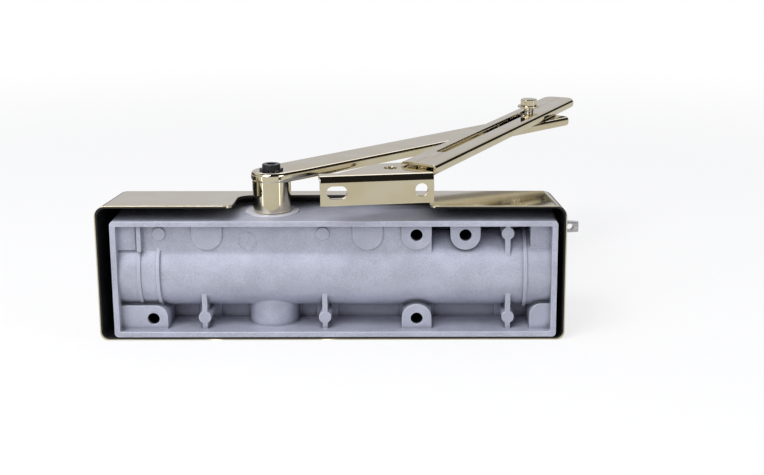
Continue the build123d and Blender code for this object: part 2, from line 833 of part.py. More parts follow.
with BuildPart() as main_arm:
    with BuildSketch(heading(spindle_x, axis_y, arm_under, arm_angle)) as bar:
        with BuildLine():
            CenterArc((0, 0), arm_hub_radius, 0, 360)
            Polyline(
                (arm_hub_length, -arm_width / 2),
                (arm_span + arm_tail, -arm_width / 2),
                (arm_span + arm_tail, arm_width / 2),
                (arm_hub_length, arm_width / 2),
            )
        make_hull()
        fillet(bar.vertices().group_by(Axis.X)[-1], arm_corner_radius)
    extrude(amount=arm_height)
    for level in (0, -1):
        fillet(main_arm.edges().filter_by(Plane.XY).group_by(Axis.Z)[level], arm_edge_radius)
    with BuildSketch(Plane.XY.offset(sleeve_foot)):
        with Locations((spindle_x, axis_y)):
            Circle(sleeve_diameter / 2)
    extrude(amount=arm_under + arm_edge_radius - sleeve_foot)
    with BuildSketch(Plane.XY.offset(sleeve_foot)):
        with Locations((spindle_x, axis_y)):
            Circle(neck_diameter / 2 + collar_play)
    extrude(amount=square_start - sleeve_foot, mode=Mode.SUBTRACT)
    with BuildSketch(heading(spindle_x, axis_y, square_start, arm_angle)):
        Rectangle(square_across + 2 * square_play, square_across + 2 * square_play)
    extrude(amount=arm_top - square_start, mode=Mode.SUBTRACT)
    # Pivot hole of the elbow, with a seat for the pin's head underneath
    for start, depth, diameter in (
        (arm_under, arm_height, elbow_pin_diameter + 2 * elbow_pin_play),
        (arm_under, elbow_seat_depth, elbow_seat_diameter),
    ):
        with BuildSketch(Plane.XY.offset(start)):
            with Locations((elbow_x, elbow_y)):
                Circle(diameter / 2)
        extrude(amount=depth, mode=Mode.SUBTRACT)
main_arm.part.label = "main_arm"
export_step(main_arm.part, "parts/main_arm.step")

washer_top = arm_top + lock_washer_thickness

with BuildPart() as lock_washer:
    with BuildSketch(heading(spindle_x, axis_y, arm_top, arm_angle)):
        Circle(lock_washer_diameter / 2 - lock_washer_rim)
        with PolarLocations(lock_washer_diameter / 2 - lock_washer_rim, lock_washer_teeth):
            RegularPolygon(lock_washer_tooth_size, 3)
        Circle(arm_screw_diameter / 2 + square_play, mode=Mode.SUBTRACT)
    extrude(amount=lock_washer_thickness)
lock_washer.part.label = "lock_washer"
export_step(lock_washer.part, "parts/lock_washer.step")

with BuildPart() as arm_screw:
    with BuildSketch(Plane.XY.offset(washer_top)):
        with Locations((spindle_x, axis_y)):
            Circle(arm_screw_head / 2)
    extrude(amount=arm_screw_head_height)
    fillet(arm_screw.edges().group_by(Axis.Z)[-1], arm_screw_edge_radius)
    with BuildSketch(Plane.XY.offset(washer_top + arm_screw_head_height)):
        with Locations((spindle_x, axis_y)):
            RegularPolygon(arm_screw_socket / 2, 6, major_radius=False)
    extrude(amount=-arm_screw_socket_depth, mode=Mode.SUBTRACT)
    with BuildSketch(Plane.XY.offset(washer_top)):
        with Locations((spindle_x, axis_y)):
            Circle(arm_screw_diameter / 2)
    extrude(amount=-arm_screw_length)
arm_screw.part.label = "arm_screw"
export_step(arm_screw.part, "parts/arm_screw.step")

# Forearm: a box section folded from sheet, with its slot over the elbow at its own x = 0
near_x = -(forearm_reach + forearm_near_end)
centre_y = -slot_offset
elbow = (elbow_x, elbow_y)


def on_forearm(z):
    return heading(elbow_x, elbow_y, z, forearm_angle)


def forearm_outline(inset):
    # The forearm seen from above: rounded at its far end, cut askew at its near end.
    half = forearm_width / 2 - inset
    end = forearm_far_end - inset
    skew = half * tan(radians(forearm_end_skew))
    with BuildSketch() as outline:
        with BuildLine():
            Polyline(
                (end, centre_y - half),
                (near_x - skew, centre_y - half),
                (near_x + skew, centre_y + half),
                (end, centre_y + half),
                close=True,
            )
        make_face()
        fillet(outline.vertices().group_by(Axis.X)[-1], forearm_corner_radius - inset)
    return outline.sketch


with BuildPart() as forearm:
    with BuildSketch(on_forearm(forearm_under)):
        add(forearm_outline(0))
    extrude(amount=forearm_height)
    near_end = on_forearm(forearm_under).from_local_coords((near_x, centre_y, 0))
    for level in (0, -1):
        rim = forearm.edges().filter_by(Plane.XY).group_by(Axis.Z)[level]
        fillet(rim.sort_by_distance(near_end)[1:], forearm_edge_radius)
    with BuildSketch(on_forearm(forearm_under + forearm_wall)):
        add(forearm_outline(forearm_wall))
        with Locations((near_x, centre_y)):
            Rectangle(forearm_width, forearm_width - 2 * forearm_wall)
    extrude(amount=forearm_height - 2 * forearm_wall, mode=Mode.SUBTRACT)
    # Long slot through the top and the bottom
    slot_start = near_x + slot_near_margin
    with BuildSketch(on_forearm(forearm_under)):
        with Locations(((slot_start + slot_far_margin) / 2, 0)):
            SlotOverall(slot_far_margin - slot_start, slot_width)
    extrude(amount=forearm_height, mode=Mode.SUBTRACT)
    # The bottom and the left wall are cut back, so that the shoe's plate can turn inside
    with BuildSketch(on_forearm(forearm_under)):
        with Locations((near_x, centre_y + forearm_wall)):
            Rectangle(2 * forearm_cut_back, forearm_width)
    extrude(amount=forearm_cut_height, mode=Mode.SUBTRACT)
forearm.part.label = "forearm"
export_step(forearm.part, "parts/forearm.step")

# Elbow pin with the block that slides in the slot
pin_foot = arm_under + elbow_pin_play
washer_level = forearm_top + clamp_stand_off
head_level = washer_level + clamp_washer_thickness
clamp_hole = clamp_thread + 2 * square_play

with BuildPart() as elbow_pin:
    with BuildSketch(Plane.XY.offset(pin_foot)):
        with Locations(elbow):
            Circle(elbow_head_diameter / 2)
    extrude(amount=elbow_head_height)
    with BuildSketch(Plane.XY.offset(pin_foot)):
        with Locations(elbow):
            Circle(elbow_pin_diameter / 2)
    extrude(amount=arm_top - pin_foot)
    with BuildSketch(on_forearm(arm_top)):
        with Locations((slot_far_margin - block_play - block_length / 2, 0)):
            SlotOverall(block_length, slot_width - 2 * block_play)
    extrude(amount=forearm_top - block_drop - arm_top)
    for diameter, mode in ((slot_width - 2 * block_play, Mode.ADD), (clamp_hole, Mode.SUBTRACT)):
        with BuildSketch(Plane.XY.offset(pin_foot)):
            with Locations(elbow):
                Circle(diameter / 2)
        extrude(amount=washer_level - pin_foot, mode=mode)
elbow_pin.part.label = "elbow_pin"
export_step(elbow_pin.part, "parts/elbow_pin.step")

with BuildPart() as clamp_washer:
    with BuildSketch(Plane.XY.offset(washer_level)):
        with Locations(elbow):
            Circle(clamp_washer_diameter / 2)
            Circle(clamp_thread / 2 + square_play, mode=Mode.SUBTRACT)
    extrude(amount=clamp_washer_thickness)
clamp_washer.part.label = "clamp_washer"
export_step(clamp_washer.part, "parts/clamp_washer.step")

with BuildPart() as clamp_screw:
    with BuildSketch(on_forearm(head_level)):
        RegularPolygon(clamp_head_across / 2, 6, major_radius=False)
    extrude(amount=clamp_head_height)
    with BuildSketch(on_forearm(head_level)):
        Circle(clamp_head_round / 2)
    extrude(amount=clamp_head_height, mode=Mode.INTERSECT)
    chamfer(clamp_screw.faces().sort_by(Axis.Z)[-1].edges(), clamp_head_chamfer)
    with BuildSketch(Plane.XY.offset(pin_foot)):
        with Locations(elbow):
            Circle(clamp_thread / 2)
    extrude(amount=head_level - pin_foot)
clamp_screw.part.label = "clamp_screw"
export_step(clamp_screw.part, "parts/clamp_screw.step")

# Shoe bracket: drawn from the left end of its fold line, which lies back from the pivot
pivot = on_forearm(0).from_local_coords((-forearm_reach, centre_y, 0))
fold = heading(pivot.X, pivot.Y, 0, shoe_angle).from_local_coords((-shoe_pivot_along, -shoe_pivot_depth, 0))
along_x = cos(radians(shoe_angle))
along_y = sin(radians(shoe_angle))


def on_shoe(z):
    return heading(fold.X, fold.Y, z, shoe_angle)


with BuildPart() as shoe:
    with BuildSketch(on_shoe(shoe_top - shoe_thickness)):
        with BuildLine():
            CenterArc((spare_pivot_along, spare_pivot_depth), spare_pivot_margin, 0, 360)
            CenterArc((shoe_pivot_along, shoe_pivot_depth), shoe_pivot_margin, 0, 360)
            Line((0, 0), (shoe_length, shoe_plate_edge))
        make_hull()
        with Locations((shoe_length / 2, shoe_plate_edge / 2)):
            Rectangle(shoe_length, shoe_plate_edge)
        with Locations((spare_pivot_along, spare_pivot_depth)):
            Circle(spare_pivot_diameter / 2, mode=Mode.SUBTRACT)
        with Locations((shoe_pivot_along, shoe_pivot_depth)):
            Circle(rivet_diameter / 2 + rivet_play, mode=Mode.SUBTRACT)
    extrude(amount=shoe_thickness)
    with BuildSketch(on_shoe(shoe_top - shoe_height)):
        with Locations((shoe_length / 2, shoe_thickness / 2)):
            Rectangle(shoe_length, shoe_thickness)
    extrude(amount=shoe_height)
    # The bend: first its inner side, one plate thickness in, then its outer side
    for place, radius in ((-2, shoe_bend_radius - shoe_thickness), (-1, shoe_bend_radius)):
        runs = shoe.edges().filter_by(lambda e: abs(e.length - shoe_length) < tolerance)
        fillet(runs.sort_by(Axis.Z)[place], radius)
    # Fixing slot and fixing hole in the flange
    flange_face = Plane(
        origin=(fold.X, fold.Y, shoe_top - shoe_hole_drop),
        x_dir=(along_x, along_y, 0),
        z_dir=(along_y, -along_x, 0),
    )
    with BuildSketch(flange_face):
        with Locations((shoe_slot_along, 0)):
            SlotOverall(shoe_slot_length, shoe_slot_width)
        with Locations((shoe_hole_along, 0)):
            Circle(shoe_hole_diameter / 2)
    extrude(amount=-shoe_thickness, mode=Mode.SUBTRACT)
shoe.part.label = "shoe_bracket"
export_step(shoe.part, "parts/shoe_bracket.step")

# Rivet that hangs from the forearm's top wall and carries the shoe
plate_under = shoe_top - shoe_thickness
inner_top = forearm_top - forearm_wall

with BuildPart() as shoe_rivet:
    for start, end, diameter in (
        (plate_under - rivet_gap - rivet_head_height, plate_under - rivet_gap, rivet_head_diameter),
        (plate_under - rivet_gap, inner_top, rivet_diameter),
        (shoe_top + rivet_gap, inner_top, rivet_head_diameter),
    ):
        with BuildSketch(Plane.XY.offset(start)):
            with Locations((pivot.X, pivot.Y)):
                Circle(diameter / 2)
        extrude(amount=end - start)
shoe_rivet.part.label = "shoe_rivet"
export_step(shoe_rivet.part, "parts/shoe_rivet.step")
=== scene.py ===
import bpy
import json
import math
from mathutils import Matrix, Vector


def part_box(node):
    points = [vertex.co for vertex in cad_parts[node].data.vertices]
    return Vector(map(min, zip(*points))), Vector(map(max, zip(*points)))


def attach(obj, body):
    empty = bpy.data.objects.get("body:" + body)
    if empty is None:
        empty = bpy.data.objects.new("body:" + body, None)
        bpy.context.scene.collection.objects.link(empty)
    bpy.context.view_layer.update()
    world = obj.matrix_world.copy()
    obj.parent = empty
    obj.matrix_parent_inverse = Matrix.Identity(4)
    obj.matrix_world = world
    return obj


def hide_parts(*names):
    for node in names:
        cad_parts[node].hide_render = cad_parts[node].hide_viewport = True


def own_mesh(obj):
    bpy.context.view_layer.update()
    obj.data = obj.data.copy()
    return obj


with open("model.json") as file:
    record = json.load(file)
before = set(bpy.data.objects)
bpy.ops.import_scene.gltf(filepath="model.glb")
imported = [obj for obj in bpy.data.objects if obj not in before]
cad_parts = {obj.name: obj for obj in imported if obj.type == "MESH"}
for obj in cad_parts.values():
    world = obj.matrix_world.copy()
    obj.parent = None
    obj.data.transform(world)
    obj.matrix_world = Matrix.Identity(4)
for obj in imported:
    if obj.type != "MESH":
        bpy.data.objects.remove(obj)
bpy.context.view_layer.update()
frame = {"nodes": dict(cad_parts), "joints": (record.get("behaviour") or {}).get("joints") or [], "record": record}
print("frame loaded")


# Shader maths: a wire is one socket, and sums on it add Math nodes
class Wire:
    def __init__(self, recipe, socket):
        self.recipe = recipe
        self.socket = socket

    def math(self, operation, *others):
        sockets = {0: self}
        for k, other in enumerate(others):
            sockets[k + 1] = other
        return self.recipe.add("ShaderNodeMath", {"operation": operation}, sockets)

    def __add__(self, other):
        return self.math("ADD", other)

    __radd__ = __add__

    def __sub__(self, other):
        return self.math("SUBTRACT", other)

    def __rsub__(self, other):
        return self.recipe.add("ShaderNodeMath", {"operation": "SUBTRACT"}, {0: other, 1: self})

    def __mul__(self, other):
        return self.math("MULTIPLY", other)

    __rmul__ = __mul__

    def above(self, level):
        return self.math("GREATER_THAN", level)

    def below(self, level):
        return self.math("LESS_THAN", level)

    def absolute(self):
        return self.math("ABSOLUTE")

    def between(self, low, high):
        # 0 below low, 1 above high, smooth in between
        return self.recipe.add(
            "ShaderNodeMapRange",
            {"interpolation_type": "SMOOTHSTEP"},
            {"Value": self, "From Min": low, "From Max": high},
        )


# A recipe adds nodes to one tree: a type, its settings, and the values or wires of its sockets
class Recipe:
    def __init__(self, tree):
        self.tree = tree

    def add(self, kind, settings=None, sockets=None, out=0):
        node = self.tree.nodes.new(kind)
        for key, value in (settings or {}).items():
            setattr(node, key, value)
        for key, value in (sockets or {}).items():
            self.put(node.inputs[key], value)
        return Wire(self, node.outputs[out])

    def put(self, socket, value):
        if isinstance(value, Wire):
            self.tree.links.new(value.socket, socket)
        else:
            socket.default_value = value

    def axes(self, vector):
        node = self.add("ShaderNodeSeparateXYZ", None, {0: vector}).socket.node
        return [Wire(self, node.outputs[k]) for k in range(3)]

    def mix(self, factor, first, second):
        # Two colours by a factor: they are a Mix node's sockets 6 and 7, and its colour comes out at 2
        sockets = {0: factor, 6: first, 7: second}
        return self.add("ShaderNodeMix", {"data_type": "RGBA"}, sockets, 2)

    def vectors(self, operation, first, second, out=0):
        return self.add("ShaderNodeVectorMath", {"operation": operation}, {0: first, 1: second}, out)

    def rayKinds(self):
        # 1 for rays from the camera, and 1 for rays from a glossy surface
        node = self.add("ShaderNodeLightPath").socket.node
        return Wire(self, node.outputs["Is Camera Ray"]), Wire(self, node.outputs["Is Glossy Ray"])


# Edges: how the normal is rolled over them, and where the mask of their wear and painted highlight begins and is
# full
edgeLook = {"samples": 8, "from": 0.01, "to": 0.22}


# A finish is the recipe of a new material, on the piece's own coordinates
class Finish(Recipe):
    def __init__(self, name):
        self.material = bpy.data.materials.new(name)
        self.material.use_nodes = True
        super().__init__(self.material.node_tree)
        self.shader = self.tree.nodes["Principled BSDF"]
        self.place = self.add("ShaderNodeTexCoord", out="Object")

    def set(self, **values):
        # Principled sockets by name, with underscores for spaces
        for key, value in values.items():
            self.put(self.shader.inputs[key.replace("_", " ")], value)

    def noise(self, scale, detail, roughness=0.5, vector=None):
        sockets = {"Vector": vector or self.place, "Scale": scale, "Detail": detail, "Roughness": roughness}
        return self.add("ShaderNodeTexNoise", None, sockets)

    def bump(self, height, strength, distance, under):
        sockets = {"Height": height, "Strength": strength, "Distance": distance, "Normal": under}
        return self.add("ShaderNodeBump", None, sockets)

    def rolled(self, radius):
        # The normal, rolled over the edges
        return self.add("ShaderNodeBevel", {"samples": edgeLook["samples"]}, {"Radius": radius})

    def edges(self, rolled):
        # A mask of the edges: where the rolled normal leaves the real one
        real = self.add("ShaderNodeNewGeometry", out="Normal")
        same = self.vectors("DOT_PRODUCT", rolled, real, out="Value")
        return (1 - same).between(edgeLook["from"], edgeLook["to"])


# The cover and the arms are of one brass
brassColours = {
    "pale": (0.83, 0.768, 0.61, 1), "warm": (0.775, 0.692, 0.505, 1), "worn": (0.93, 0.88, 0.72, 1),
    "paleBelow": 0.35, "warmAbove": 0.70,
}


def drilledHoles():
    # Centres of the fixing holes, from the record's bolt patterns
    holes = []
    for mount in frame["record"]["mounts"]:
        if mount["kind"] == "bolt_pattern":
            x, _, z = mount["pos_m"]
            half = mount["dims"]["spacing_x_mm"] / 1000 / 2
            holes += [(x - half, z), (x + half, z)]
    return holes


def silverPaint():
    # Silver paint on a die casting: grain, soft flow marks, pale edges that are wear and painted highlight,
    # painted shade in the corners, and painted shade deep in the fixing holes
    look = {
        "pale": (0.485, 0.502, 0.600, 1), "deep": (0.345, 0.358, 0.430, 1), "worn": (0.78, 0.805, 0.91, 1),
        "corner": (0.10, 0.105, 0.13, 1), "drilled": (0.02, 0.02, 0.024, 1),
        "grain": 1700.0, "flow": 42.0, "blotch": 190.0,
        "grainShare": 0.50, "flowShare": 0.35, "blotchShare": 0.15, "deepBelow": 0.36, "paleAbove": 0.64,
        "edgeRadius": 0.0006, "edgeSpread": 0.55, "edgeShare": 0.8,
        "cornerReach": 0.0045, "cornerSamples": 8, "darkBelow": 0.35, "clearAbove": 0.80, "cornerShare": 0.75,
        "holeRadius": 0.0034, "paintDepth": 0.0018, "paintFade": 0.001,
        "metallic": 0.30, "roughness": 0.44, "grainRoughness": 0.20, "edgeGloss": 0.10,
        "sand": 0.60, "sandDepth": 0.00025, "swell": 0.22, "swellDepth": 0.0005,
    }
    paint = Finish("silverPaint")
    grain = paint.noise(look["grain"], 3.0, 0.6)
    flow = paint.noise(look["flow"], 4.0, 0.55)
    blotch = paint.noise(look["blotch"], 3.0)
    tone = flow * look["flowShare"] + blotch * look["blotchShare"] + grain * look["grainShare"]
    colour = paint.mix(tone.between(look["deepBelow"], look["paleAbove"]), look["deep"], look["pale"])

    # Paler edges: wear and a painted edge highlight
    rolled = paint.rolled(look["edgeRadius"])
    edge = paint.edges(rolled).math("POWER", look["edgeSpread"])
    colour = paint.mix(edge * look["edgeShare"], colour, look["worn"])

    # Painted shade: ambient occlusion darkens the paint's colour in corners and crevices, beside pads and posts
    openness = paint.add(
        "ShaderNodeAmbientOcclusion",
        {"samples": look["cornerSamples"], "only_local": True},
        {"Distance": look["cornerReach"]},
        out="AO",
    )
    corner = 1 - openness.between(look["darkBelow"], look["clearAbove"])
    colour = paint.mix(corner * look["cornerShare"], colour, look["corner"])

    # Painted shade: inside the fixing holes, past a small depth, the colour is near black, as the deep holes are
    # in shade
    x, y, z = paint.axes(paint.place)
    deepInside = y.between(look["paintDepth"], look["paintDepth"] + look["paintFade"])
    for holeX, holeZ in drilledHoles():
        across = (x - holeX) * (x - holeX) + (z - holeZ) * (z - holeZ)
        inHole = across.below(look["holeRadius"] ** 2)
        colour = paint.mix(inHole * deepInside, colour, look["drilled"])

    paint.set(Base_Color=colour, Metallic=look["metallic"])
    paint.set(Roughness=look["roughness"] + grain * look["grainRoughness"] - edge * look["edgeGloss"])
    sand = paint.bump(grain, look["sand"], look["sandDepth"], rolled)
    paint.set(Normal=paint.bump(blotch, look["swell"], look["swellDepth"], sand))
    return paint.material


def brushMarks(brass, turn, strength, rolled):
    # Fine polishing lines along one direction, and a slow waviness that bends the reflections
    look = {
        "lines": 90.0, "stretch": (0.25, 9.0, 9.0), "lineDepth": 0.00004,
        "wave": 26.0, "waveDepth": 0.0003,
    }
    sockets = {"Vector": brass.place, "Scale": look["stretch"], "Rotation": (0, 0, turn)}
    stretched = brass.add("ShaderNodeMapping", None, sockets)
    lines = brass.noise(look["lines"], 4.0, 0.6, stretched)
    wave = brass.noise(look["wave"], 1.0, 0.4)
    fine = brass.bump(lines, strength, look["lineDepth"], rolled)
    return lines, brass.bump(wave, strength, look["waveDepth"], fine)


def seamLines(brass, seams):
    # A mask of the folded sheet's seams, on the bar's top face, along and beside the bar's own direction
    x, y, z = brass.axes(brass.place)
    startX, startY = seams["start"]
    alongX, alongY = math.cos(seams["turn"]), math.sin(seams["turn"])
    along = (x - startX) * alongX + (y - startY) * alongY
    beside = (y - startY) * alongX - (x - startX) * alongY
    lines = []
    for first, last, offset in seams["runs"]:
        onLine = (beside - offset).absolute().below(seams["width"])
        lines.append(along.above(first) * along.below(last) * onLine)
    joined = lines[0]
    for line in lines[1:]:
        joined = joined + line
    return (joined * z.above(seams["level"])).math("MINIMUM", 1.0)


def polishedBrass(name, turn=0.0, seams=None):
    look = {
        "edgeRadius": 0.0004, "edgeShare": 0.6, "cloud": 60.0, "brush": 0.05,
        "seam": (0.20, 0.18, 0.14, 1), "seamShare": 0.75, "roughness": 0.03, "lineRoughness": 0.05,
    }
    brass = Finish(name)
    rolled = brass.rolled(look["edgeRadius"])
    lines, normal = brushMarks(brass, turn, look["brush"], rolled)
    warm = brass.noise(look["cloud"], 3.0).between(brassColours["paleBelow"], brassColours["warmAbove"])
    colour = brass.mix(warm, brassColours["pale"], brassColours["warm"])
    # Paler edges: wear and a painted edge highlight
    colour = brass.mix(brass.edges(rolled) * look["edgeShare"], colour, brassColours["worn"])
    if seams:
        colour = brass.mix(seamLines(brass, seams) * look["seamShare"], colour, look["seam"])
    brass.set(Base_Color=colour, Metallic=1.0, Normal=normal)
    brass.set(Roughness=look["roughness"] + lines * look["lineRoughness"])
    return brass.material


def coverFinish():
    # Brass outside and black inside: a face is inside where it looks towards the hood's middle
    look = {
        "black": (0.008, 0.008, 0.009, 1), "corner": 0.005, "bareRim": 0.0005, "rearward": -0.9,
        "edgeRadius": 0.0005, "brush": 0.04, "cloud": 40.0, "grain": 900.0,
        "roughness": 0.04, "lineRoughness": 0.04, "rimRoughness": 0.34,
        "blackRoughness": 0.38, "grainRoughness": 0.2,
    }
    low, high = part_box("cover")
    middle = (low + high) / 2
    half = (high - low) / 2
    cover = Finish("coverFinish")
    outward = cover.vectors("DIVIDE", cover.vectors("SUBTRACT", cover.place, middle), half)
    facing = cover.add("ShaderNodeNewGeometry", out="True Normal")
    looksOut = cover.vectors("DOT_PRODUCT", outward, facing, out="Value").above(0.0)

    # The rear rim is bare along its outer edge, and black from there inwards
    x, _, z = cover.axes(cover.place)
    corner = look["corner"]
    pastX = ((x - middle.x).absolute() - (half.x - corner)).math("MAXIMUM", 0.0)
    pastZ = ((z - middle.z).absolute() - (half.z - corner)).math("MAXIMUM", 0.0)
    inwards = corner - (pastX * pastX + pastZ * pastZ).math("SQRT")
    rear = cover.axes(facing)[1].below(look["rearward"])
    outside = looksOut * (1 - rear * inwards.above(look["bareRim"]))

    lines, normal = brushMarks(cover, 0.0, look["brush"], cover.rolled(look["edgeRadius"]))
    warm = cover.noise(look["cloud"], 3.0).between(brassColours["paleBelow"], brassColours["warmAbove"])
    gold = cover.mix(warm, brassColours["pale"], brassColours["warm"])
    goldRough = look["roughness"] + lines * look["lineRoughness"] + rear * look["rimRoughness"]
    blackRough = look["blackRoughness"] + cover.noise(look["grain"], 2.0) * look["grainRoughness"]
    cover.set(Base_Color=cover.mix(outside, look["black"], gold), Metallic=outside, Normal=normal)
    cover.set(Roughness=outside * goldRough + (1 - outside) * blackRough)
    return cover.material


def plainFinish(name, own):
    # A metal, rubber or foam: cloudy colour, fine grain and paler edges, which are wear and painted highlight. Its
    # own values come last
    look = {
        "grain": 700.0, "bump": 0.15, "grainDepth": 0.0002, "grainRoughness": 0.12,
        "cloud": 110.0, "deepBelow": 0.35, "paleAbove": 0.65,
        "edgeRadius": 0.0003, "edgeShare": 0.7, "wornGain": 1.35, "wornLift": 0.03, **own,
    }
    finish = Finish(name)
    grain = finish.noise(look["grain"], 3.0, 0.6)
    tone = finish.noise(look["cloud"], 3.0).between(look["deepBelow"], look["paleAbove"])
    colour = finish.mix(tone, (*look["deep"], 1), (*look["pale"], 1))
    rolled = finish.rolled(look["edgeRadius"])
    # The pale edge colour is wear and a painted edge highlight
    worn = [min(1.0, c * look["wornGain"] + look["wornLift"]) for c in look["pale"]]
    colour = finish.mix(finish.edges(rolled) * look["edgeShare"], colour, (*worn, 1))
    finish.set(Base_Color=colour, Metallic=look["metallic"])
    finish.set(Roughness=look["roughness"] + grain * look["grainRoughness"])
    finish.set(Normal=finish.bump(grain, look["bump"], look["grainDepth"], rolled))
    return finish.material


plainLooks = {
    "groundSteel": {
        "pale": (0.62, 0.61, 0.60), "deep": (0.50, 0.495, 0.49), "metallic": 1.0, "roughness": 0.22,
    },
    "blackOxide": {
        "pale": (0.024, 0.024, 0.030), "deep": (0.012, 0.012, 0.015), "metallic": 0.45, "roughness": 0.14,
    },
    "brightZinc": {
        "pale": (0.66, 0.67, 0.71), "deep": (0.54, 0.55, 0.59), "metallic": 0.85, "roughness": 0.40,
    },
    "sinteredBronze": {
        "pale": (0.52, 0.36, 0.20), "deep": (0.40, 0.27, 0.15), "metallic": 0.9, "roughness": 0.42,
    },
    "sealRubber": {
        "pale": (0.030, 0.030, 0.030), "deep": (0.018, 0.018, 0.018), "metallic": 0.0, "roughness": 0.62,
    },
    "foamPad": {
        "pale": (0.09, 0.09, 0.09), "deep": (0.05, 0.05, 0.05), "metallic": 0.0, "roughness": 0.85,
        "grain": 1400.0, "bump": 0.5,
    },
    "collarPaint": {
        "pale": (0.66, 0.66, 0.72), "deep": (0.56, 0.56, 0.62), "metallic": 0.2, "roughness": 0.32,
    },
}
plain = {name: plainFinish(name, look) for name, look in plainLooks.items()}
finishes = {
    "casting_paint": silverPaint(),
    "cover_brass": coverFinish(),
    "arm_brass": polishedBrass("armBrass"),
    "steel": plain["groundSteel"],
    "black_steel": plain["blackOxide"],
    "zinc": plain["brightZinc"],
    "bronze": plain["sinteredBronze"],
    "rubber": plain["sealRubber"],
    "felt": plain["foamPad"],
}

# The arms lie at an angle, so their polishing lines and seams are turned with them
joints = {joint["name"]: joint for joint in frame["joints"]}
spindleX, spindleY, _ = joints["spindle_turn"]["pos_m"]
elbowX, elbowY, _ = joints["elbow_turn"]["pos_m"]
slideX, slideY, _ = joints["forearm_slide"]["axis"]
mainArmTurn = math.atan2(elbowY - spindleY, elbowX - spindleX)
forearmTurn = math.atan2(slideY, slideX)
# Each run is where a seam begins and ends along the bar from the elbow, and how far it lies beside the middle
forearmSeams = {
    "turn": forearmTurn, "start": (elbowX, elbowY), "width": 0.00022,
    "level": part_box("forearm")[1].z - 0.0001,
    "runs": ((-0.1700, -0.1550, 0.0012), (-0.1560, -0.1425, -0.0023), (0.0040, 0.0700, -0.0009)),
}
ownFinishes = {
    "forearm": polishedBrass("forearmBrass", -forearmTurn, forearmSeams),
    "main_arm": polishedBrass("mainArmBrass", -mainArmTurn),
    "spindle_collar": plain["collarPaint"],
}
slots = {part["node"]: part["material_slot"] for part in frame["record"]["subparts"]}
for name, node in frame["nodes"].items():
    node.data.materials.clear()
    node.data.materials.append(ownFinishes.get(name, finishes[slots[name]]))
    for face in node.data.polygons:
        face.material_index = 0
print("finishes made")


# New pieces: small steps that they share
smoothBelow = math.radians(40)


def nothingSelected():
    bpy.ops.object.select_all(action="DESELECT")


def placeIntoMesh():
    bpy.ops.object.transform_apply(location=True, rotation=True, scale=True)


def rawBlock(name, size):
    # A cube of this size about the origin, to be shaped
    nothingSelected()
    bpy.ops.mesh.primitive_cube_add(size=1)
    block = bpy.context.object
    block.name = name
    block.scale = size
    placeIntoMesh()
    return block


def softened(piece, width, segments):
    # Rounds off the edges of the active piece
    soften = piece.modifiers.new("soften", "BEVEL")
    soften.width = width
    soften.segments = segments
    bpy.ops.object.modifier_apply(modifier="soften")
    return piece


def windCoil(name, coil):
    # A round wire wound about the z axis, with closed ends, then laid where it belongs
    nothingSelected()
    bpy.ops.mesh.primitive_circle_add(
        vertices=coil["sides"], radius=coil["wire"] / 2, location=(coil["radius"], 0, 0),
        rotation=(math.radians(90), 0, 0),
    )
    piece = bpy.context.object
    piece.name = name
    placeIntoMesh()
    wind = piece.modifiers.new("wind", "SCREW")
    wind.axis = "Z"
    wind.screw_offset = coil["pitch"]
    wind.iterations = coil["turns"]
    wind.steps = coil["steps"]
    wind.render_steps = coil["steps"]
    bpy.ops.object.modifier_apply(modifier="wind")
    bpy.ops.object.mode_set(mode="EDIT")
    bpy.ops.mesh.select_all(action="SELECT")
    bpy.ops.mesh.fill_holes(sides=0)
    bpy.ops.mesh.normals_make_consistent(inside=False)
    bpy.ops.object.mode_set(mode="OBJECT")
    piece.rotation_euler = coil["turned"]
    piece.location = coil["start"]
    placeIntoMesh()
    bpy.ops.object.shade_smooth_by_angle(angle=smoothBelow)
    return piece


# Main spring: drawn in round wire, in place of the part's own spring
springLow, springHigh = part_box("main_spring")
springLength = springHigh.x - springLow.x
springY, springZ = (springLow.y + springHigh.y) / 2, (springLow.z + springHigh.z) / 2
mainSpring = {"sides": 20, "wire": 0.0044, "turns": 7, "steps": 56, "turned": (0, math.radians(90), 0)}
mainSpring["radius"] = (springHigh.y - springLow.y - mainSpring["wire"]) / 2
mainSpring["pitch"] = (springLength - mainSpring["wire"]) / mainSpring["turns"]
mainSpring["start"] = (springLow.x + mainSpring["wire"] / 2, springY, springZ)
spring = windCoil("mainSpring", mainSpring)
spring.data.materials.append(finishes["black_steel"])
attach(spring, "closer_body")
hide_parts("main_spring")
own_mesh(spring)
print("main spring wound")

# Thread on the elbow's post, between the forearm and the clamp washer
clampLow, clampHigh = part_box("clamp_screw")
postX, postY = (clampLow.x + clampHigh.x) / 2, (clampLow.y + clampHigh.y) / 2
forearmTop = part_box("forearm")[1].z
postThread = {
    "sides": 6, "wire": 0.00045, "turns": 3, "steps": 40, "turned": (0, 0, 0),
    "radius": 0.00275, "pitch": 0.0007, "gap": 0.0002,
}
postThread["start"] = (postX, postY, forearmTop + postThread["gap"])
thread = windCoil("postThread", postThread)
thread.data.materials.append(finishes["arm_brass"])
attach(thread, "elbow")
print("post thread cut")

# Mould dial: a plain cast ring with marks and a pointer, on the plateau left of the middle
mouldDial = {
    "place": (-0.0187, 0.0009, 0.0409), "radius": 0.0047, "line": 0.00032, "marks": 12,
    "markRing": 0.80, "markLength": 0.26, "markWidth": 1.6,
    "pointerLength": 0.0034, "pointerWidth": 3, "pointerHeight": 2, "pointerTurn": math.radians(-62),
    "softShare": 0.3,
}


def castBar(name, length, width, height):
    # A small raised bar along x
    bar = rawBlock(name, (length, height, width))
    return softened(bar, min(width, height) * mouldDial["softShare"], segments=2)


